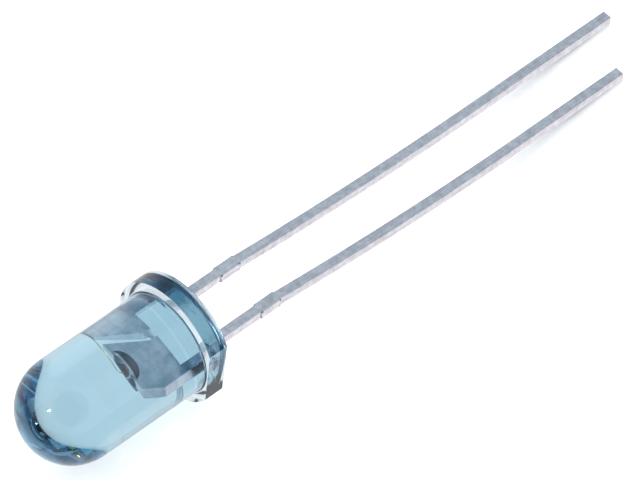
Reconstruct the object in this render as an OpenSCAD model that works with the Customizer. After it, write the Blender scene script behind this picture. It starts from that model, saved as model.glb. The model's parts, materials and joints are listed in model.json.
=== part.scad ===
// 5 mm through-hole LED, clear blue-tinted casting, lying as it comes to rest
// on a flat surface. Millimetres. The nose points to -X, the leads to +X, +Z is
// up, and the origin is on the surface under the middle of the part.
//
// Each piece is drawn in the casting's own frame: z runs along its axis from the
// rim of the flange to the nose, x points to the cathode and the flat, and the
// leadframe lies in the plane y = 0. lie_down() then turns the piece to its rest.

/* [Casting] */
// Diameter of the straight body, and of the domed nose
body_d = 4.9; // [4.7:0.05:5.1]
// Height from the rim of the flange to the tip of the nose
lens_h = 8.9; // [8:0.1:10]
// Diameter of the flange
flange_d = 5.9; // [5.6:0.05:6.2]
// Thickness of the flange, at its rim
flange_t = 1.0; // [0.8:0.05:1.4]
// Distance of the flange's flat from the axis, on the cathode side
flat_x = 2.56; // [2.46:0.01:2.7]
// Radius of the fillet between the flange and the body
shoulder_fillet = 0.1; // [0.05:0.01:0.15]
// Depth of the hollow that the resin's meniscus leaves under the flange
meniscus_h = 0.2; // [0.1:0.02:0.24]
// Radius of the meniscus where it climbs to the rim
meniscus_r = 0.8; // [0.4:0.05:1]
// Width of the lip that is left at the rim
lip_w = 0.05; // [0.04:0.01:0.1]
// How far the resin creeps out along each lead, above the hollow
creep_h = 0.14; // [0.06:0.02:0.18]
// Radius of the creep where it leaves the hollow
creep_r = 0.55; // [0.45:0.05:0.7]

/* [Leads] */
// Width of the stamped lead, across the leadframe
lead_w = 0.45; // [0.4:0.01:0.5]
// Thickness of the leadframe's sheet
sheet_t = 0.45; // [0.4:0.01:0.5]
// Distance between the leads where they leave the flange
lead_pitch = 2.54; // [2.5:0.01:2.6]
// Length of the anode lead, from the rim of the flange
anode_len = 26; // [22:0.5:30]
// Length of the cathode lead, from the rim of the flange
cathode_len = 24.2; // [20:0.5:26]
// How far the anode's tip strays sideways, to the flat side
anode_lean = 0.43; // [0:0.05:0.6]
// How far the cathode's tip strays sideways, to the flat side
cathode_lean = 0.52; // [0:0.05:0.6]
// Length of the lead, from the tie bar's stub on, over which it strays
lean_len = 14; // [8:1:15]
// Distance from the rim of the flange to the middle of the tie bar's stub
tie_z = 3.65; // [2.5:0.1:6]
// Length of the stub along the lead
tie_len = 1.1; // [0.6:0.1:1.4]
// How far the stub stands out from the lead, on each side
tie_out = 0.05; // [0.04:0.01:0.15]

/* [Leadframe heads] */
// Height of the top of both heads above the rim of the flange
head_top = 3.85; // [3.6:0.05:4.2]
// Height of the lower edge of both heads
head_foot = 1.7; // [1.3:0.05:1.9]
// Height at which the slanted gap between the heads ends and runs straight down
gap_foot = 2.1; // [2:0.05:2.4]
// Width of the gap between the heads, across the leadframe
gap_w = 0.28; // [0.2:0.02:0.3]
// Place of the gap's middle at the top, from the axis
gap_top_x = -1.01; // [-1.05:0.01:-0.98]
// Place of the gap's middle at its foot, from the axis
gap_foot_x = -0.36; // [-0.5:0.02:-0.2]
// Height at which the anvil's outer corner starts to slant inward
anvil_corner_z = 2.9; // [2.6:0.05:3.2]
// How far that corner slants inward at the top
anvil_corner_in = 0.55; // [0.2:0.05:0.6]

/* [Reflector cup] */
// Radius of the bulge that coining the cup leaves on the anvil
bulge_r = 0.62; // [0.6:0.01:0.66]
// Diameter of the cup's mouth
cup_mouth_d = 1.0; // [0.9:0.02:1.06]
// Diameter of the cup's floor
cup_floor_d = 0.56; // [0.5:0.02:0.6]
// Depth of the cup
cup_depth = 0.42; // [0.38:0.01:0.45]

/* [Die and bond wire] */
// Width of the square die
die_w = 0.3; // [0.26:0.01:0.32]
// Height of the die
die_h = 0.26; // [0.2:0.01:0.28]
// Thickness of the adhesive under the die
attach_t = 0.02; // [0.01:0.005:0.04]
// How far the adhesive's fillet stands out round the die
attach_out = 0.02; // [0.01:0.005:0.025]
// Diameter of the bond wire
wire_d = 0.03; // [0.02:0.005:0.04]
// Diameter of the ball bond on the die
ball_d = 0.09; // [0.08:0.01:0.12]
// Height of the ball bond
ball_h = 0.03; // [0.02:0.005:0.04]
// Length of wire that rises straight from the ball
neck_h = 0.25; // [0.2:0.01:0.4]
// Radius of the loop where the wire turns over
loop_r = 0.15; // [0.1:0.01:0.2]
// Length of the squashed bond at the wire's far end
stitch_l = 0.1; // [0.08:0.01:0.14]
// Width of the squashed bond
stitch_w = 0.08; // [0.06:0.01:0.1]
// Height of the squashed bond
stitch_h = 0.014; // [0.01:0.002:0.02]

/* [Hidden] */
$fn = 96;
// The node to draw
// How far a cutting shape runs past the face that it opens
past = 0.5;
// Straight pieces in a lead's bow
bow_steps = 14;

body_r = body_d / 2;
flange_r = flange_d / 2;
dome_z = lens_h - body_r;
// Where the hollow's flat middle ends, from the rim's outline inward
meniscus_in = lip_w + sqrt(2 * meniscus_r * meniscus_h - meniscus_h * meniscus_h);
lead_x = lead_pitch / 2;
cup_floor_z = head_top - cup_depth;
die_z = cup_floor_z + attach_t;
ball_z = die_z + die_h;
bow_z = tie_z + tie_len / 2;

// Corners of the two heads
gap_half = gap_w / 2;
anode_outer_x = -lead_x - lead_w / 2;
anode_inner_x = -lead_x + lead_w / 2;
cathode_inner_x = lead_x - lead_w / 2;
cathode_outer_x = lead_x + lead_w / 2;

// Sides of the bond wire, and rings in its loop
wire_sides = 12;
loop_steps = 8;
// Share of a ring's radius at the middle of a side
side_share = cos(180 / wire_sides);
// The wire turns over until its fall points at the far bond, on the post
loop_x = -loop_r;
loop_z = ball_z + ball_h + neck_h;
stitch_x = (anode_outer_x + gap_top_x - gap_half) / 2;
heel_x = stitch_x + stitch_l;
heel_z = head_top + wire_d / 2;
reach = norm([heel_x - loop_x, heel_z - loop_z]);
turn = 180 + atan((heel_z - loop_z) / (heel_x - loop_x)) - acos(loop_r / reach);

// Rings of the bond wire: x, z, direction from +z towards -x, and the ring's
// half height and half width
wire_rings = concat(
    [
        [0, ball_z, 0, ball_d / 2, ball_d / 2],
        [0, ball_z + ball_h, 0, ball_d / 2, ball_d / 2],
        [0, ball_z + ball_h, 0, wire_d / 2, wire_d / 2]
    ],
    [
        for (i = [0 : loop_steps])
            let (a = turn * i / loop_steps)
                [loop_x + loop_r * cos(a), loop_z + loop_r * sin(a), a, wire_d / 2, wire_d / 2]
    ],
    [
        [heel_x, heel_z, turn, wire_d / 2, wire_d / 2],
        for (end = [1, -1])
            [
                stitch_x + end * stitch_l / 2,
                head_top + stitch_h / 2,
                90,
                stitch_h / 2 / side_share,
                stitch_w / 2
            ]
    ]
);

// At rest the flange's rim and both tips touch the surface. rest_x, rest_y and 1
// are the surface's normal in the casting's frame, before it is given length 1.
tip_x = [-lead_x + anode_lean + lead_w / 2, lead_x + cathode_lean + lead_w / 2];
half_t = sheet_t / 2;
rest_x = (anode_len - cathode_len) / (tip_x[0] - tip_x[1]);
rest_a = anode_len - rest_x * tip_x[0];
rest_q = flange_r * flange_r - half_t * half_t;
rest_root = pow(rest_a * half_t, 2) + rest_q * (rest_a * rest_a - pow(flange_r * rest_x, 2));
rest_y = (rest_a * half_t + sqrt(rest_root)) / rest_q;
roll = atan2(rest_x, rest_y);
tilt = atan2(1, norm([rest_x, rest_y]));

// Middle of the resting part, seen from above, and height of the rim's centre
tip_rise = (tip_x[0] - (roll < 0 ? lead_w : 0)) * sin(roll) + half_t * cos(roll);
nose_end = -dome_z * cos(tilt) - body_r;
tip_end = anode_len * cos(tilt) + tip_rise * sin(tilt);
mid_x = (nose_end + tip_end) / 2;
mid_y = (flange_r - flange_r * cos(acos(flat_x / flange_r) - abs(roll))) / 2;
rim_z = flange_r * cos(tilt);

// Turns a piece from the casting's frame to where it lies
module lie_down() {
    translate([-mid_x, -mid_y, rim_z])
        rotate([0, tilt, 0])
            multmatrix([[0, 0, -1, 0], [-1, 0, 0, 0], [0, 1, 0, 0], [0, 0, 0, 1]])
                rotate([0, 0, roll])
                    children();
}

// Share of the lean that a lead has reached at distance d from the rim
function bow(d) = let (s = min(max((d - bow_z) / lean_len, 0), 1)) 1 - pow(1 - s, 2);

// One side of a lead, down from its tie bar's stub to its tip. out is how far
// the stub stands out there.
function lead_side(x, out, len, lean) = [
    [x, tie_len - bow_z],
    [x + out, tie_len - bow_z],
    [x + out, -bow_z],
    for (i = [0 : bow_steps])
        let (d = bow_z + lean_len * i / bow_steps)
            [x + lean * bow(d), -d],
    [x + lean, -len]
];

// The same points from the tip upward
function upward(points) = [for (i = [len(points) - 1 : -1 : 0]) points[i]];

// Gives a stamped outline, drawn in x and z, the thickness of the sheet
module stamp() {
    translate([0, half_t, 0])
        rotate([90, 0, 0])
            linear_extrude(height = sheet_t)
                children();
}

// Outline of the anode: lead, and the post that takes the bond wire
module anode_outline() {
    polygon(concat(
        upward(lead_side(anode_outer_x, -tie_out, anode_len, anode_lean)),
        [
            [anode_outer_x, head_top],
            [gap_top_x - gap_half, head_top],
            [gap_foot_x - gap_half, gap_foot],
            [gap_foot_x - gap_half, head_foot],
            [anode_inner_x, head_foot]
        ],
        lead_side(anode_inner_x, tie_out, anode_len, anode_lean)
    ));
}

// Outline of the cathode: lead, and the anvil that carries the cup
module cathode_outline() {
    polygon(concat(
        upward(lead_side(cathode_inner_x, -tie_out, cathode_len, cathode_lean)),
        [
            [cathode_inner_x, head_foot],
            [gap_foot_x + gap_half, head_foot],
            [gap_foot_x + gap_half, gap_foot],
            [gap_top_x + gap_half, head_top],
            [cathode_outer_x - anvil_corner_in, head_top],
            [cathode_outer_x, anvil_corner_z]
        ],
        lead_side(cathode_outer_x, tie_out, cathode_len, cathode_lean)
    ));
}

// Rounded bulge under the cup, its flat side level with the top of the anvil
module cup_bulge() {
    translate([0, 0, head_top - bulge_r])
        rotate_extrude()
            intersection() {
                translate([0, bulge_r]) circle(r = bulge_r);
                square(bulge_r);
            }
}

// Space inside the cup, run on past its mouth at the same slope
module cup_space() {
    slope = (cup_mouth_d - cup_floor_d) / 2 / cup_depth;
    translate([0, 0, cup_floor_z])
        cylinder(h = cup_depth + past, r1 = cup_floor_d / 2, r2 = cup_mouth_d / 2 + slope * past);
}

module anode_solid() {
    stamp() anode_outline();
}

module cathode_solid() {
    difference() {
        union() {
            stamp() cathode_outline();
            cup_bulge();
        }
        cup_space();
    }
}

module die_solid() {
    translate([-die_w / 2, -die_w / 2, die_z]) cube([die_w, die_w, die_h]);
}

module attach_solid() {
    side = die_w + 2 * attach_out;
    translate([-side / 2, -side / 2, cup_floor_z]) cube([side, side, attach_t]);
}

// Point j of ring r
function ring_point(r, j) =
    let (turned = 360 * (j + 0.5) / wire_sides, lift = r[3] * cos(turned))
        [r[0] + lift * cos(r[2]), r[4] * sin(turned), r[1] + lift * sin(r[2])];

// Ball, straight neck, loop, straight fall to the post, and squashed end
module wire_solid() {
    last = len(wire_rings) - 1;
    polyhedron(
        points = [for (r = wire_rings, j = [0 : wire_sides - 1]) ring_point(r, j)],
        faces = concat(
            [
                for (i = [0 : last - 1], j = [0 : wire_sides - 1])
                    let (k = (j + 1) % wire_sides, a = i * wire_sides, b = a + wire_sides)
                        each [[a + j, b + j, b + k], [a + j, b + k, a + k]]
            ],
            [[for (j = [0 : wire_sides - 1]) j]],
            [[for (j = [wire_sides - 1 : -1 : 0]) last * wire_sides + j]]
        )
    );
}

// Half section of the casting
module casting_section() {
    square([flange_r, flange_t]);
    square([body_r, dome_z]);
    translate([0, dome_z])
        intersection() {
            circle(r = body_r);
            translate([0, -past]) square([body_r, body_r + past]);
        }
    difference() {
        translate([body_r, flange_t]) square(shoulder_fillet);
        translate([body_r, flange_t] + [shoulder_fillet, shoulder_fillet])
            circle(r = shoulder_fillet);
    }
}

// Section of the hollow under the flange, out to distance x from the middle
module hollow_section(x) {
    intersection() {
        union() {
            square([x - meniscus_in, meniscus_h]);
            translate([x - meniscus_in, meniscus_h - meniscus_r]) circle(r = meniscus_r);
        }
        translate([0, -past]) square([x, meniscus_h + past]);
    }
}

// Hollow under the flange: its meniscus follows the round rim and the flat
module hollow() {
    intersection() {
        rotate_extrude() hollow_section(flange_r);
        union() {
            translate([0, flange_r, 0])
                rotate([90, 0, 0])
                    linear_extrude(height = flange_d)
                        hollow_section(flat_x);
            translate([-flange_r, -flange_r, -past]) cube([flange_r, flange_d, meniscus_h + past]);
        }
    }
}

// Resin that creeps out along a lead, run on past the hollow's roof at its slope
module creep(x) {
    creep_tip_r = norm([lead_w, sheet_t]) / 2 + lip_w / 2;
    slope = (creep_r - creep_tip_r) / creep_h;
    translate([x, 0, meniscus_h - creep_h])
        cylinder(h = creep_h + past, r1 = creep_tip_r, r2 = creep_r + slope * past);
}

module casting() {
    difference() {
        rotate_extrude() casting_section();
        translate([flat_x, -flange_r, -past]) cube([flange_r, flange_d, lens_h]);
        difference() {
            hollow();
            creep(-lead_x);
            creep(lead_x);
        }
    }
}

// Clear epoxy casting, poured round everything else
module lens() {
    color([0.69, 0.82, 0.88, 0.4])
        lie_down()
            difference() {
                casting();
                anode_solid();
                cathode_solid();
                die_solid();
                attach_solid();
                wire_solid();
            }
}

// Longer lead, with the post
module anode_lead() {
    color([0.66, 0.66, 0.70]) lie_down() anode_solid();
}

// Shorter lead, with the anvil and its reflector cup
module cathode_lead() {
    color([0.66, 0.66, 0.70]) lie_down() cathode_solid();
}

// Light-emitting chip, in the cup
module die() {
    color([0.16, 0.15, 0.17]) lie_down() die_solid();
}

// Silver-filled adhesive between the chip and the cup's floor
module die_attach() {
    color([0.78, 0.78, 0.76]) lie_down() attach_solid();
}

// Gold wire from the top of the chip to the post
module bond_wire() {
    color([0.90, 0.72, 0.32]) lie_down() wire_solid();
}

lens();
anode_lead();
cathode_lead();
die();
die_attach();
bond_wire();
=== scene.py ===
"""A 5 mm through-hole LED with a clear, blue-tinted body, lying on a white floor.

The casting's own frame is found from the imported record's mounts: z runs from the
rim of the flange to the nose, x points to the cathode lead and the flat, and the
leadframe lies in the plane y = 0. Sizes below are in millimetres, and MM turns
them to the metres that Blender works in here.
"""

import json
from math import asin, cos, pi, radians, sin, sqrt

import bmesh
import bpy
from mathutils import Matrix, Vector


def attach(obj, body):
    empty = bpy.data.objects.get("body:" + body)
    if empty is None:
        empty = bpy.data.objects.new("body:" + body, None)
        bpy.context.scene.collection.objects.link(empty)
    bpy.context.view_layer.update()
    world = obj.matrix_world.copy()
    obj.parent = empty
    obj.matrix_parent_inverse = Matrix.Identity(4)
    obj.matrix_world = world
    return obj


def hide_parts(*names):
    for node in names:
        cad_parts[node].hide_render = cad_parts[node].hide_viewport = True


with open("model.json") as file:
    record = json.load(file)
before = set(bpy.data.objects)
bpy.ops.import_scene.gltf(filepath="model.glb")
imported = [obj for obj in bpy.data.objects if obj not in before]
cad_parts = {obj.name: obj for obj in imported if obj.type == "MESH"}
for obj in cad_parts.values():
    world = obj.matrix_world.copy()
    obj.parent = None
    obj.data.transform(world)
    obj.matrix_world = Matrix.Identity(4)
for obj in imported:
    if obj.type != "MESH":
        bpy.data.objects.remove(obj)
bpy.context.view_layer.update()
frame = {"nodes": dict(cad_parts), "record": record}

MM = 0.001

# Sockets of the Mix node that mixes colours: the share of the second, both colours, and the result
MIX_SHARE, MIX_FROM, MIX_TO, MIXED = 0, 6, 7, 2

# Sizes of the casting that the record's mounts don't give
LENS_H = 8.9          # from the flange's rim to the tip of the nose
FLAT_X = 2.56         # from the axis to the flange's flat
FILLET_R = 0.1        # where the body meets the flange
MENISCUS_H = 0.2      # depth of the hollow underneath
MENISCUS_R = 0.8      # radius of the hollow's rounded side
LIP_W = 0.05          # flat lip round the hollow
CREEP_H = 0.14        # height of the resin that creeps out along a lead
CREEP_R = 0.55        # its radius at the hollow's roof
LEAD_W = 0.45
LEAD_PITCH = 2.54

# How finely the casting is stepped
ROUND_SIDES = 192
CREEP_SIDES = 48
FILLET_STEPS = 6
BODY_STEPS = 12
DOME_STEPS = 48
MENISCUS_STEPS = 10
BELOW = 0.2           # how far a cutting piece runs past the face that it cuts
UP_FACING = 0.9       # least upward part of the normal of a face that looks up
SAME_HEIGHT = 1e-6    # metres
SMOOTH_ANGLE = 20     # degrees up to which an edge looks round

# Where the leads' colour changes: darker sheared corners at the tie bar's stubs, and painted shade on the
# coined cup's bulge
TIE_Z = -3.65         # middle of the tie bar's sheared stubs
TIE_LEN = 1.1
STUB_START = 0.005    # how far off the lead's side a stub starts
BURR_LEN = 0.07       # size of the dark sheared corners
CUP_REACH = 0.61      # the coined cup's outer radius
CUP_FOOT = 3.26       # and where its bulge starts
CUP_PROUD = 0.003     # how far the bulge stands off the sheet at least

# The epoxy: its tint in linear light, and the painted dark reflection round the upper half of its rim, from
# the flat on
EPOXY_IOR = 1.54
TINT = (0.16, 0.60, 0.765, 1)
TINT_DENSITY = 200.0  # per metre
RIM_PAINTED_REFLECTION = ((0.0, "E4EEF2"), (0.14, "C8DCE4"), (0.20, "B8D2DC"), (0.24, "5A8494"), (0.30, "82A7B2"),
           (0.40, "88ABBB"), (0.47, "24566E"), (0.58, "0E4468"), (0.70, "5484A4"), (0.84, "E0E8EE"))
STREAK_SIZE = 0.6     # streaks of painted reflection along the flange's rim
STREAK_DETAIL = 3.0
STREAK_TWIST = 1.2
STREAK_STRAY = 0.9    # radians by which the painted reflection strays round the rim
PAINTED_REFLECTION_START = (0.12, 0.22)  # heights above the rim's lower edge between which the painted reflection sets in
PAINTED_REFLECTION_FADE = 0.04       # height over which it ends at the upper edge
WAVE_SIZE = 1.5       # waves in the moulded skin
WAVE_DETAIL = 1.0
WAVE_HEIGHT = 0.003

# The tin plate
TIN_SHADES = ((0.3, "C4C0C8"), (0.5, "DCD8E0"), (0.72, "F3F0F6"))
# Colour of the stubs' sheared corners, also used as painted shade on the coined cup's bulge
SHEARED_STEEL_AND_PAINTED_SHADE = "6E7078"
LINE_PITCH = 0.05     # rolling lines, drawn coarser than real so that they show
LINE_LENGTH = 4.0
LINE_DETAIL = 3.0
CLOUD_SIZE = 0.35     # clouding in the tin
CLOUD_DETAIL = 4.0
CLOUD_BREAK = 0.6     # how much the finer clouds break up the larger ones
CLOUD_SHARE = 0.7     # how far the clouds outweigh the lines
TIN_RELIEF = 0.01
TIN_BUMP = 0.3
TIN_ROUGH = (0.12, 0.26)

# The chip
CRYSTAL_SHADES = ((0.3, "26232B"), (0.7, "3A3540"))
SAW_MARK = 0.03       # size of the saw marks
CHIP_ROUGH = 0.3
PAD_R = 0.06          # the gold pad
GOLD_PAD = "E2B85C"

# Grained finishes: where the grain's two shades lie in its noise, and its relief
GRAIN_STOPS = (0.3, 0.7)
GRAIN_DETAIL = 3.0
GRAIN_RELIEF = 0.1    # as a share of the grain's size
GRAIN_BUMP = 0.4
ADHESIVE_SHADES = ("9C9C98", "C8C8C4")
FLAKE_SIZE = 0.02     # silver flakes in the adhesive
FLAKE_METAL = 0.6     # how metallic they make it
ADHESIVE_ROUGH = (0.4, 0.6)
GOLD_SHADES = ("DDB055", "F0CC7C")
WIRE_GRAIN = 0.04
GOLD_ROUGH = (0.14, 0.24)
BOARD_SHADES = ("EFEFF0", "F4F4F4")
BOARD_GRAIN = 0.8     # grain of the floor, drawn coarser than real
BOARD_ROUGH = (0.85, 0.95)

# The camera: where it looks, from where (in degrees), how long its lens is, and the nearest and
# farthest that it sees
LOOK_AT = (-0.70, -0.23, 2.0)
CAMERA_AZIMUTH = -39.48
CAMERA_ELEVATION = 52.89
CAMERA_ROLL = -4.80
CAMERA_DISTANCE = 403.7
CAMERA_LENS = 529.4
SENSOR_W = 36
NEAREST = 10
FARTHEST = 10000

# The surroundings are built of round patches: the direction of the middle, the degrees from
# it at which the edge starts and ends, and the brightness inside and outside
CAMERA_PATCH = (30, 40, 0.14, 1.0)  # its middle is where the camera stands
GREY_CARD = ((0.5, 0.38, 0.65), 28, 45, 0.62, 1.0)  # mirrored in the leads' broad faces
TENT_TOP = ((0, 0, 1), 47, 66, 1.0, 0.8)  # the tent is a little dimmer low down
FLOOR_PANEL = ((0.35, 0.45, -0.82), 67, 79, 0.97, 0.25)  # wide, and seen through the body
SIDE_PANEL = ((-0.60, -0.20, -0.77), 10, 26, 0.8, 0.0)  # small, down past the nose
EDGE_PANEL = ((0.37, -0.19, -0.91), 2, 32, 1.08, 0.0)  # mirrored in the leads' sides
WHITE = "FFFFFF"
DIM_COLOUR = (0.55, 0.95, 1.15, 1)  # of what isn't fully bright, in linear light

# Lamps: azimuth and elevation in degrees, distance, width, and power in watts
SMALL_LAMP = (-96, 34, 300, 18, 0.8)
CEILING_LAMP = (0, 90, 400, 700, 3.6)

FLOOR_W = 1200

# How often light may bounce on its way out of the casting
BOUNCES = 24
GLOSSY_BOUNCES = 12


def mount(name):
    """The record's mount of that name."""
    return next(m for m in frame["record"]["mounts"] if m["name"] == name)


def casting_frame():
    """Turns the casting's own frame, in metres, to where the part lies."""
    nose = Vector(mount("body")["axis"]).normalized()
    tips = [Vector(mount(name)["pos_m"]) for name in ("anode_lead_end", "cathode_lead_end")]
    across = tips[1] - tips[0]
    across = (across - nose * across.dot(nose)).normalized()
    half_flange = mount("flange")["dims"]["length_mm"] * MM / 2
    rim = Vector(mount("flange")["pos_m"]) - nose * half_flange
    turn = Matrix((across, nose.cross(across), nose)).transposed().to_4x4()
    return Matrix.Translation(rim) @ turn


CASTING = casting_frame()
BODY_R = mount("body")["dims"]["r_mm"]
FLANGE_R = mount("flange")["dims"]["r_mm"]
FLANGE_T = mount("flange")["dims"]["length_mm"]
DOME_Z = LENS_H - BODY_R


def linear(code):
    """A colour written as sRGB hex, such as 8FB7C9, in linear light."""
    parts = [int(code[i:i + 2], 16) / 255 for i in (0, 2, 4)]
    return tuple(c / 12.92 if c <= 0.04045 else ((c + 0.055) / 1.055) ** 2.4 for c in parts) + (1,)


def away(azimuth, elevation):
    """The direction from the part to something at that azimuth and elevation in degrees."""
    az, el = radians(azimuth), radians(elevation)
    return Vector((sin(az) * cos(el), -cos(az) * cos(el), sin(el)))


def add_node(tree, kind, sockets=None, **settings):
    """Adds a node with its settings. A socket is given a value, or another node's output."""
    made = tree.nodes.new(kind)
    for name, value in settings.items():
        setattr(made, name, value)
    for socket, value in (sockets or {}).items():
        if isinstance(value, bpy.types.NodeSocket):
            tree.links.new(value, made.inputs[socket])
        else:
            made.inputs[socket].default_value = value
    return made


def new_material(name):
    """An empty material and its tree, with its output node."""
    made = bpy.data.materials.new(name)
    made.use_nodes = True
    made.node_tree.nodes.clear()
    return made, made.node_tree, add_node(made.node_tree, "ShaderNodeOutputMaterial")


def wear(piece, made):
    """Gives a piece one material."""
    piece.data.materials.clear()
    piece.data.materials.append(made)


# Camera

def place_camera():
    """Puts the camera at the photograph's viewing angle."""
    bpy.ops.object.camera_add()
    camera = bpy.context.object
    camera.name = "photo_camera"
    back = away(CAMERA_AZIMUTH, CAMERA_ELEVATION)
    roll = Matrix.Rotation(radians(CAMERA_ROLL), 3, back)
    camera.rotation_mode = "QUATERNION"
    camera.rotation_quaternion = (roll @ back.to_track_quat("Z", "Y").to_matrix()).to_quaternion()
    camera.location = (Vector(LOOK_AT) + back * CAMERA_DISTANCE) * MM
    camera.data.lens = CAMERA_LENS
    camera.data.sensor_width = SENSOR_W
    camera.data.clip_start = NEAREST * MM
    camera.data.clip_end = FARTHEST * MM
    bpy.context.scene.camera = camera


# Shaping

def activate(piece):
    """Selects one piece alone and makes it active."""
    bpy.ops.object.select_all(action="DESELECT")
    piece.select_set(True)
    bpy.context.view_layer.objects.active = piece


def combine(piece, other, operation):
    """Cuts a second closed piece out of the first, or keeps what both share, and drops the second."""
    activate(piece)
    step = piece.modifiers.new(operation, "BOOLEAN")
    step.operation = operation
    step.solver = "EXACT"
    step.object = other
    bpy.ops.object.modifier_apply(modifier=step.name)
    bpy.data.objects.remove(other)


def select_top(piece):
    """In edit mode, selects the faces that look up at the piece's top."""
    bpy.ops.mesh.select_mode(type="FACE")
    bpy.ops.mesh.select_all(action="DESELECT")
    mesh = bmesh.from_edit_mesh(piece.data)
    top = max(v.co.z for v in mesh.verts)
    for face in mesh.faces:
        at_top = face.calc_center_median().z > top - SAME_HEIGHT
        face.select_set(face.normal.z > UP_FACING and at_top)
    bmesh.update_edit_mesh(piece.data)


def extrude_up(rise):
    """Extrudes what is selected along z."""
    bpy.ops.mesh.extrude_region_move(TRANSFORM_OT_translate={"value": (0, 0, rise * MM)})


def add_disc(radius, low, high):
    """Adds a round disc about the z axis between two heights, with its place in its mesh."""
    bpy.ops.object.select_all(action="DESELECT")
    bpy.ops.mesh.primitive_cylinder_add(
        vertices=ROUND_SIDES, radius=radius * MM, depth=(high - low) * MM,
        location=(0, 0, (low + high) / 2 * MM), end_fill_type="NGON")
    bpy.ops.object.transform_apply(location=True)
    return bpy.context.object


def add_block(low, high):
    """Adds a block between two corners, with its place in its mesh."""
    bpy.ops.object.select_all(action="DESELECT")
    bpy.ops.mesh.primitive_cube_add(size=1)
    piece = bpy.context.object
    piece.scale = [(b - a) * MM for a, b in zip(low, high)]
    piece.location = [(a + b) / 2 * MM for a, b in zip(low, high)]
    bpy.ops.object.transform_apply(location=True, scale=True)
    return piece


# Casting

def lens_rings():
    """Radius and height of each ring above the flange: the fillet, the body and the dome."""
    low = FLANGE_T + FILLET_R
    rings = []
    for step in range(1, FILLET_STEPS + 1):
        turn = pi / 2 * step / FILLET_STEPS
        rings.append((BODY_R + FILLET_R * (1 - sin(turn)), low - FILLET_R * cos(turn)))
    for step in range(1, BODY_STEPS + 1):
        rings.append((BODY_R, low + (DOME_Z - low) * step / BODY_STEPS))
    for step in range(1, DOME_STEPS):
        turn = pi / 2 * step / DOME_STEPS
        rings.append((BODY_R * cos(turn), DOME_Z + BODY_R * sin(turn)))
    return rings


def lens_blank():
    """Flange, body and dome, drawn up ring by ring from a disc and closed with a fan."""
    piece = add_disc(FLANGE_R, 0, FLANGE_T)
    bpy.ops.object.mode_set(mode="EDIT")
    select_top(piece)
    radius, height = BODY_R + FILLET_R, FLANGE_T
    bpy.ops.mesh.inset(thickness=(FLANGE_R - radius) * MM)
    for next_radius, next_height in lens_rings():
        extrude_up(next_height - height)
        share = next_radius / radius
        bpy.ops.transform.resize(value=(share, share, 1), center_override=(0, 0, next_height * MM))
        radius, height = next_radius, next_height
    bpy.ops.mesh.poke()
    bpy.ops.object.mode_set(mode="OBJECT")
    tip = max(piece.data.vertices, key=lambda v: (v.co.z, -abs(v.co.x) - abs(v.co.y)))
    tip.co = (0, 0, LENS_H * MM)
    return piece


def cut_flat(piece):
    """Cuts the flange's flat, which marks the cathode."""
    past = 2 * FLANGE_R
    combine(piece, add_block((FLAT_X, -past, -FLANGE_T), (past, past, 2 * FLANGE_T)), "DIFFERENCE")


def meniscus_profile():
    """Distances in from the rim's outline, and depths, at which the hollow's section is stepped."""
    width = sqrt(2 * MENISCUS_R * MENISCUS_H - MENISCUS_H ** 2)
    start = asin(width / MENISCUS_R)
    turns = [start * (1 - step / MENISCUS_STEPS) for step in range(MENISCUS_STEPS + 1)]
    return [(LIP_W + width - MENISCUS_R * sin(t), MENISCUS_H - MENISCUS_R * (1 - cos(t))) for t in turns]


def round_hollow():
    """The hollow under a round flange, as a solid that starts below the rim."""
    profile = meniscus_profile()
    radius, height = FLANGE_R - profile[0][0], 0
    piece = add_disc(radius, -BELOW, 0)
    bpy.ops.object.mode_set(mode="EDIT")
    select_top(piece)
    for inward, deep in profile[1:]:
        extrude_up(deep - height)
        share = (FLANGE_R - inward) / radius
        bpy.ops.transform.resize(value=(share, share, 1), center_override=(0, 0, deep * MM))
        radius, height = FLANGE_R - inward, deep
    bpy.ops.object.mode_set(mode="OBJECT")
    return piece


def flat_hollow():
    """The same section swept straight along the flat, with its other sides past the round rim."""
    profile = meniscus_profile()
    edge, height = FLAT_X - profile[0][0], 0
    far = -2 * FLANGE_R
    piece = add_block((far, far, -BELOW), (edge, -far, 0))
    bpy.ops.object.mode_set(mode="EDIT")
    select_top(piece)
    for inward, deep in profile[1:]:
        extrude_up(deep - height)
        share = (FLAT_X - inward - far) / (edge - far)
        bpy.ops.transform.resize(value=(share, 1, 1), center_override=(far * MM, 0, deep * MM))
        edge, height = FLAT_X - inward, deep
    bpy.ops.object.mode_set(mode="OBJECT")
    return piece


def creep_cone(x):
    """The small cone of resin that creeps out along a lead, its wide end buried in the casting."""
    tip_r = LEAD_W / sqrt(2) + LIP_W / 2
    length = CREEP_H + BELOW
    foot_r = tip_r + (CREEP_R - tip_r) * length / CREEP_H
    bpy.ops.object.select_all(action="DESELECT")
    bpy.ops.mesh.primitive_cone_add(
        vertices=CREEP_SIDES, radius1=tip_r * MM, radius2=foot_r * MM, depth=length * MM,
        location=(x * MM, 0, (MENISCUS_H + (BELOW - CREEP_H) / 2) * MM))
    bpy.ops.object.transform_apply(location=True)
    return bpy.context.object


def sink_meniscus(piece):
    """Hollows the underside as the resin's meniscus does, apart from what creeps out along the leads."""
    hollow = round_hollow()
    combine(hollow, flat_hollow(), "INTERSECT")
    for x in (-LEAD_PITCH / 2, LEAD_PITCH / 2):
        combine(hollow, creep_cone(x), "DIFFERENCE")
    combine(piece, hollow, "DIFFERENCE")


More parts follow.
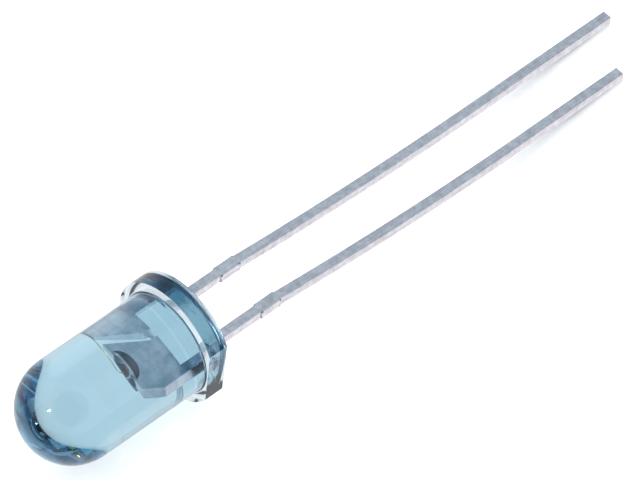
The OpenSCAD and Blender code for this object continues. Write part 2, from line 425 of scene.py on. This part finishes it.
def make_casting():
    """The cast body as one clear, closed skin, turned to where it lies. It throws no shadow,
    as its real one is a pale glow."""
    piece = lens_blank()
    cut_flat(piece)
    sink_meniscus(piece)
    piece.name = "clear_casting"
    activate(piece)
    piece.matrix_world = CASTING
    bpy.ops.object.transform_apply(location=True, rotation=True, scale=True)
    bpy.ops.object.shade_smooth_by_angle(angle=radians(SMOOTH_ANGLE))
    wear(piece, cast_epoxy())
    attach(piece, "root")
    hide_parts("lens")
    piece.visible_shadow = False


# Materials

def casting_place(tree):
    """Where a point lies in the casting's own frame, in millimetres."""
    place = add_node(tree, "ShaderNodeTexCoord")
    return add_node(tree, "ShaderNodeMapping", {
        "Vector": place.outputs["Object"], "Location": CASTING.translation,
        "Rotation": CASTING.to_euler(), "Scale": (MM, MM, MM)}, vector_type="TEXTURE").outputs["Vector"]


def off_axis(tree, place):
    """How far a point is from the casting's axis, in millimetres."""
    level = add_node(tree, "ShaderNodeVectorMath", {0: place, 1: (1, 1, 0)}, operation="MULTIPLY")
    length = add_node(tree, "ShaderNodeVectorMath", {0: level.outputs[0]}, operation="LENGTH")
    return length.outputs["Value"]


def set_stops(ramp, stops):
    """Gives a colour ramp its stops, places from 0 to 1 with their colours, and returns its colour."""
    elements = ramp.color_ramp.elements
    for place, _ in stops[1:-1]:
        elements.new(place)
    for element, (place, code) in zip(elements, stops):
        element.position = place
        element.color = linear(code)
    return ramp.outputs["Color"]


def rim_painted_reflection(tree, place, spot):
    """The colour of the painted dark reflection round the flange's rim, in streaks that stray a little."""
    turn = add_node(tree, "ShaderNodeMath", {0: spot["Y"], 1: spot["X"]}, operation="ARCTAN2")
    streaks = add_node(tree, "ShaderNodeTexNoise", {
        "Vector": place, "Scale": 1 / STREAK_SIZE, "Detail": STREAK_DETAIL, "Distortion": STREAK_TWIST})
    stray = add_node(tree, "ShaderNodeMath", {
        0: streaks.outputs["Fac"], 1: STREAK_STRAY, 2: -STREAK_STRAY / 2}, operation="MULTIPLY_ADD")
    strayed = add_node(tree, "ShaderNodeMath", {0: turn.outputs[0], 1: stray.outputs[0]}, operation="ADD")
    share = add_node(tree, "ShaderNodeMath", {0: strayed.outputs[0], 1: pi}, operation="DIVIDE")
    return set_stops(add_node(tree, "ShaderNodeValToRGB", {"Fac": share.outputs[0]}), RIM_PAINTED_REFLECTION)


def painted_reflection_mask(tree, place, spot):
    """Where the dark reflection is painted: 1 on the flange's rim and flat, fading to 0 towards both their
    edges, and 0 elsewhere.
    """
    on_round = add_node(tree, "ShaderNodeMath", {
        0: off_axis(tree, place), 1: FLANGE_R - LIP_W / 2}, operation="GREATER_THAN")
    on_flat = add_node(tree, "ShaderNodeMath", {
        0: spot["X"], 1: FLAT_X - LIP_W / 2}, operation="GREATER_THAN")
    on_side = add_node(tree, "ShaderNodeMath", {
        0: on_round.outputs[0], 1: on_flat.outputs[0]}, operation="MAXIMUM")
    above_foot = add_node(tree, "ShaderNodeMapRange", {
        "Value": spot["Z"], "From Min": PAINTED_REFLECTION_START[0], "From Max": PAINTED_REFLECTION_START[1]})
    below_top = add_node(tree, "ShaderNodeMapRange", {
        "Value": spot["Z"], "From Min": FLANGE_T, "From Max": FLANGE_T - PAINTED_REFLECTION_FADE})
    between = add_node(tree, "ShaderNodeMath", {
        0: above_foot.outputs[0], 1: below_top.outputs[0]}, operation="MULTIPLY")
    return add_node(tree, "ShaderNodeMath", {
        0: on_side.outputs[0], 1: between.outputs[0]}, operation="MULTIPLY").outputs[0]


def cast_epoxy():
    """Cast epoxy with a blue dye: clear, glossy from the mould, and bluer the longer the way
    through it. The flange's trimmed rim carries a painted dark reflection, in streaks."""
    made, tree, out = new_material("cast_epoxy")
    place = casting_place(tree)
    spot = add_node(tree, "ShaderNodeSeparateXYZ", {"Vector": place}).outputs
    # The rim's streaked colour is a painted dark reflection
    colour = add_node(tree, "ShaderNodeMix", {
        MIX_SHARE: painted_reflection_mask(tree, place, spot), MIX_FROM: linear(WHITE),
        MIX_TO: rim_painted_reflection(tree, place, spot)}, data_type="RGBA")
    waves = add_node(tree, "ShaderNodeTexNoise", {
        "Vector": place, "Scale": 1 / WAVE_SIZE, "Detail": WAVE_DETAIL})
    bump = add_node(tree, "ShaderNodeBump", {
        "Height": waves.outputs["Fac"], "Strength": 1.0, "Distance": WAVE_HEIGHT * MM})
    skin = add_node(tree, "ShaderNodeBsdfPrincipled", {
        "Base Color": colour.outputs[MIXED], "Normal": bump.outputs["Normal"],
        "Roughness": 0.0, "IOR": EPOXY_IOR, "Transmission Weight": 1.0})
    tint = add_node(tree, "ShaderNodeVolumeAbsorption", {"Color": TINT, "Density": TINT_DENSITY})
    tree.links.new(skin.outputs["BSDF"], out.inputs["Surface"])
    tree.links.new(tint.outputs["Volume"], out.inputs["Volume"])
    return made


def painted_shade_on_bulge(tree, place, spot):
    """Where shade is painted on the leads: 1 on the bulge of the coined cup, and 0 elsewhere on the leads.
    """
    thick = add_node(tree, "ShaderNodeMath", {0: spot["Y"]}, operation="ABSOLUTE")
    near = add_node(tree, "ShaderNodeMath", {0: off_axis(tree, place), 1: CUP_REACH}, operation="LESS_THAN")
    high = add_node(tree, "ShaderNodeMath", {0: spot["Z"], 1: CUP_FOOT}, operation="GREATER_THAN")
    proud = add_node(tree, "ShaderNodeMath", {
        0: thick.outputs[0], 1: LEAD_W / 2 + CUP_PROUD}, operation="GREATER_THAN")
    both = add_node(tree, "ShaderNodeMath", {0: near.outputs[0], 1: high.outputs[0]}, operation="MULTIPLY")
    return add_node(tree, "ShaderNodeMath", {
        0: both.outputs[0], 1: proud.outputs[0]}, operation="MULTIPLY").outputs[0]


def sheared_corners(tree, spot):
    """1 on the corners of the tie bar's stubs, and 0 elsewhere on the leads."""
    across = add_node(tree, "ShaderNodeMath", {0: spot["X"]}, operation="ABSOLUTE")
    off_lead = add_node(tree, "ShaderNodeMath", {
        0: across.outputs[0], 1: LEAD_PITCH / 2}, operation="SUBTRACT")
    off_lead = add_node(tree, "ShaderNodeMath", {0: off_lead.outputs[0]}, operation="ABSOLUTE")
    on_stub = add_node(tree, "ShaderNodeMath", {
        0: off_lead.outputs[0], 1: LEAD_W / 2 + STUB_START}, operation="GREATER_THAN")
    along = add_node(tree, "ShaderNodeMath", {0: spot["Z"], 1: TIE_Z}, operation="SUBTRACT")
    along = add_node(tree, "ShaderNodeMath", {0: along.outputs[0]}, operation="ABSOLUTE")
    at_end = add_node(tree, "ShaderNodeMath", {
        0: along.outputs[0], 1: TIE_LEN / 2, 2: BURR_LEN}, operation="COMPARE")
    thick = add_node(tree, "ShaderNodeMath", {0: spot["Y"]}, operation="ABSOLUTE")
    at_edge = add_node(tree, "ShaderNodeMath", {
        0: thick.outputs[0], 1: LEAD_W / 2 - BURR_LEN}, operation="GREATER_THAN")
    both = add_node(tree, "ShaderNodeMath", {
        0: on_stub.outputs[0], 1: at_end.outputs[0]}, operation="MULTIPLY")
    return add_node(tree, "ShaderNodeMath", {
        0: both.outputs[0], 1: at_edge.outputs[0]}, operation="MULTIPLY").outputs[0]


def tin_plate():
    """Bright tin on stamped steel: silvery, a little clouded, with faint rolling lines along the
    lead. The tie bar's sheared corners are darker, and the coined cup's bulge carries painted
    shade in the same colour."""
    made, tree, out = new_material("tin_plated_steel")
    place = casting_place(tree)
    spot = add_node(tree, "ShaderNodeSeparateXYZ", {"Vector": place}).outputs
    along = add_node(tree, "ShaderNodeMapping", {
        "Vector": place, "Scale": (1 / LINE_PITCH, 1 / LINE_PITCH, 1 / LINE_LENGTH)})
    lines = add_node(tree, "ShaderNodeTexNoise", {
        "Vector": along.outputs["Vector"], "Scale": 1.0, "Detail": LINE_DETAIL})
    clouds = add_node(tree, "ShaderNodeTexNoise", {
        "Vector": place, "Scale": 1 / CLOUD_SIZE, "Detail": CLOUD_DETAIL, "Roughness": CLOUD_BREAK})
    grain = add_node(tree, "ShaderNodeMix", {
        "Factor": CLOUD_SHARE, "A": lines.outputs["Fac"], "B": clouds.outputs["Fac"]}).outputs["Result"]
    plate = set_stops(add_node(tree, "ShaderNodeValToRGB", {"Fac": grain}), TIN_SHADES)
    # Painted shade on the cup's bulge, together with the darker sheared corners of the stubs
    sheared_and_shaded = add_node(tree, "ShaderNodeMath", {
        0: painted_shade_on_bulge(tree, place, spot), 1: sheared_corners(tree, spot)}, operation="MAXIMUM")
    colour = add_node(tree, "ShaderNodeMix", {
        MIX_SHARE: sheared_and_shaded.outputs[0], MIX_FROM: plate, MIX_TO: linear(SHEARED_STEEL_AND_PAINTED_SHADE)}, data_type="RGBA")
    rough = add_node(tree, "ShaderNodeMapRange", {
        "Value": clouds.outputs["Fac"], "To Min": TIN_ROUGH[0], "To Max": TIN_ROUGH[1]})
    bump = add_node(tree, "ShaderNodeBump", {
        "Height": grain, "Strength": TIN_BUMP, "Distance": TIN_RELIEF * MM})
    skin = add_node(tree, "ShaderNodeBsdfPrincipled", {
        "Base Color": colour.outputs[MIXED], "Metallic": 1.0, "Roughness": rough.outputs["Result"],
        "Normal": bump.outputs["Normal"]})
    tree.links.new(skin.outputs["BSDF"], out.inputs["Surface"])
    return made


def chip_crystal():
    """The light-emitting chip: dark sawn crystal, with fine saw marks and a gold pad on top."""
    made, tree, out = new_material("chip_crystal")
    place = casting_place(tree)
    marks = add_node(tree, "ShaderNodeTexNoise", {"Vector": place, "Scale": 1 / SAW_MARK})
    crystal = set_stops(add_node(tree, "ShaderNodeValToRGB", {"Fac": marks.outputs["Fac"]}), CRYSTAL_SHADES)
    pad = add_node(tree, "ShaderNodeMath", {0: off_axis(tree, place), 1: PAD_R}, operation="LESS_THAN")
    colour = add_node(tree, "ShaderNodeMix", {
        MIX_SHARE: pad.outputs[0], MIX_FROM: crystal, MIX_TO: linear(GOLD_PAD)}, data_type="RGBA")
    skin = add_node(tree, "ShaderNodeBsdfPrincipled", {
        "Base Color": colour.outputs[MIXED], "Metallic": pad.outputs[0], "Roughness": CHIP_ROUGH})
    tree.links.new(skin.outputs["BSDF"], out.inputs["Surface"])
    return made


def grained(name, shades, size, metallic, roughness):
    """A finish whose colour and roughness vary with a grain of that size in millimetres."""
    made, tree, out = new_material(name)
    grain = add_node(tree, "ShaderNodeTexNoise", {
        "Vector": casting_place(tree), "Scale": 1 / size, "Detail": GRAIN_DETAIL}).outputs["Fac"]
    ramp = add_node(tree, "ShaderNodeValToRGB", {"Fac": grain})
    rough = add_node(tree, "ShaderNodeMapRange", {
        "Value": grain, "To Min": roughness[0], "To Max": roughness[1]})
    bump = add_node(tree, "ShaderNodeBump", {
        "Height": grain, "Strength": GRAIN_BUMP, "Distance": size * GRAIN_RELIEF * MM})
    skin = add_node(tree, "ShaderNodeBsdfPrincipled", {
        "Base Color": set_stops(ramp, list(zip(GRAIN_STOPS, shades))), "Metallic": metallic,
        "Roughness": rough.outputs["Result"], "Normal": bump.outputs["Normal"]})
    tree.links.new(skin.outputs["BSDF"], out.inputs["Surface"])
    return made


def dress_inside():
    """Gives the leads, the chip, its adhesive and its wire their finishes."""
    plating = tin_plate()
    for lead in ("anode_lead", "cathode_lead"):
        wear(frame["nodes"][lead], plating)
    wear(frame["nodes"]["die"], chip_crystal())
    # Cured adhesive full of silver flakes: pale grey with a dull sheen
    adhesive = grained("silver_adhesive", ADHESIVE_SHADES, FLAKE_SIZE, FLAKE_METAL, ADHESIVE_ROUGH)
    wear(frame["nodes"]["die_attach"], adhesive)
    # Drawn gold wire: warm and bright, a hair's breadth across
    gold = grained("drawn_gold", GOLD_SHADES, WIRE_GRAIN, 1.0, GOLD_ROUGH)
    wear(frame["nodes"]["bond_wire"], gold)


# Floor and light

def lay_floor():
    """A plain white floor. The clear casting looks past it at the lit panels below."""
    bpy.ops.mesh.primitive_plane_add(size=FLOOR_W * MM, location=(0, 0, 0))
    floor = bpy.context.object
    floor.name = "floor"
    # Matt white board: even, with a grain that only softens it
    wear(floor, grained("white_board", BOARD_SHADES, BOARD_GRAIN, 0.0, BOARD_ROUGH))
    floor.visible_transmission = False
    floor.visible_glossy = False


def add_softbox(name, azimuth, elevation, distance, width, power):
    """A square softbox that faces the part."""
    bpy.ops.object.light_add(type="AREA")
    lamp = bpy.context.object
    lamp.name = name
    toward = away(azimuth, elevation)
    lamp.location = toward * distance * MM
    lamp.rotation_mode = "QUATERNION"
    lamp.rotation_quaternion = toward.to_track_quat("Z", "Y")
    lamp.data.size = width * MM
    lamp.data.energy = power
    return lamp


def patch(tree, toward, centre, inner, outer, inside, outside):
    """Brightness round a direction: one value within the inner angle, another past the outer one."""
    nearness = add_node(tree, "ShaderNodeVectorMath", {
        0: toward, 1: Vector(centre).normalized()}, operation="DOT_PRODUCT")
    return add_node(tree, "ShaderNodeMapRange", {
        "Value": nearness.outputs["Value"], "To Min": outside, "To Max": inside,
        "From Min": cos(radians(outer)), "From Max": cos(radians(inner))},
        interpolation_type="SMOOTHSTEP").outputs["Result"]


def surround():
    """A white tent, with the dark front of a camera and a grey card in it, over lit panels that
    only the clear casting and the bright metal see. Its dim parts are bluish."""
    world = bpy.data.worlds.new("studio")
    bpy.context.scene.world = world
    world.use_nodes = True
    tree = world.node_tree
    toward = add_node(tree, "ShaderNodeTexCoord").outputs["Generated"]
    camera_front = patch(tree, toward, away(CAMERA_AZIMUTH, CAMERA_ELEVATION), *CAMERA_PATCH)
    tent = add_node(tree, "ShaderNodeMath", {
        0: camera_front, 1: patch(tree, toward, *GREY_CARD)}, operation="MULTIPLY")
    tent = add_node(tree, "ShaderNodeMath", {
        0: tent.outputs[0], 1: patch(tree, toward, *TENT_TOP)}, operation="MULTIPLY")
    panels = add_node(tree, "ShaderNodeMath", {
        0: patch(tree, toward, *FLOOR_PANEL), 1: patch(tree, toward, *SIDE_PANEL)}, operation="MAXIMUM")
    panels = add_node(tree, "ShaderNodeMath", {
        0: panels.outputs[0], 1: patch(tree, toward, *EDGE_PANEL)}, operation="MAXIMUM")
    height = add_node(tree, "ShaderNodeSeparateXYZ", {"Vector": toward}).outputs["Z"]
    above = add_node(tree, "ShaderNodeMath", {0: height, 1: 0.0}, operation="GREATER_THAN")
    glow = add_node(tree, "ShaderNodeMix", {
        "Factor": above.outputs[0], "A": panels.outputs[0], "B": tent.outputs[0]}).outputs["Result"]
    colour = add_node(tree, "ShaderNodeMix", {
        MIX_SHARE: glow, MIX_FROM: DIM_COLOUR, MIX_TO: linear(WHITE)}, data_type="RGBA")
    background = tree.nodes["Background"]
    tree.links.new(colour.outputs[MIXED], background.inputs["Color"])
    tree.links.new(glow, background.inputs["Strength"])


def light_part():
    """A small lamp that only puts its glint on the dome, and a large one that whitens the floor."""
    glint = add_softbox("small_lamp", *SMALL_LAMP)
    glint.visible_diffuse = False
    ceiling = add_softbox("ceiling_lamp", *CEILING_LAMP)
    ceiling.visible_glossy = False
    ceiling.visible_transmission = False


def set_view():
    """Plain colours, and enough bounces for light to find its way out of the casting."""
    scene = bpy.context.scene
    scene.view_settings.view_transform = "Standard"
    scene.cycles.max_bounces = BOUNCES
    scene.cycles.transmission_bounces = BOUNCES
    scene.cycles.glossy_bounces = GLOSSY_BOUNCES


place_camera()
make_casting()
dress_inside()
lay_floor()
surround()
light_part()
set_view()
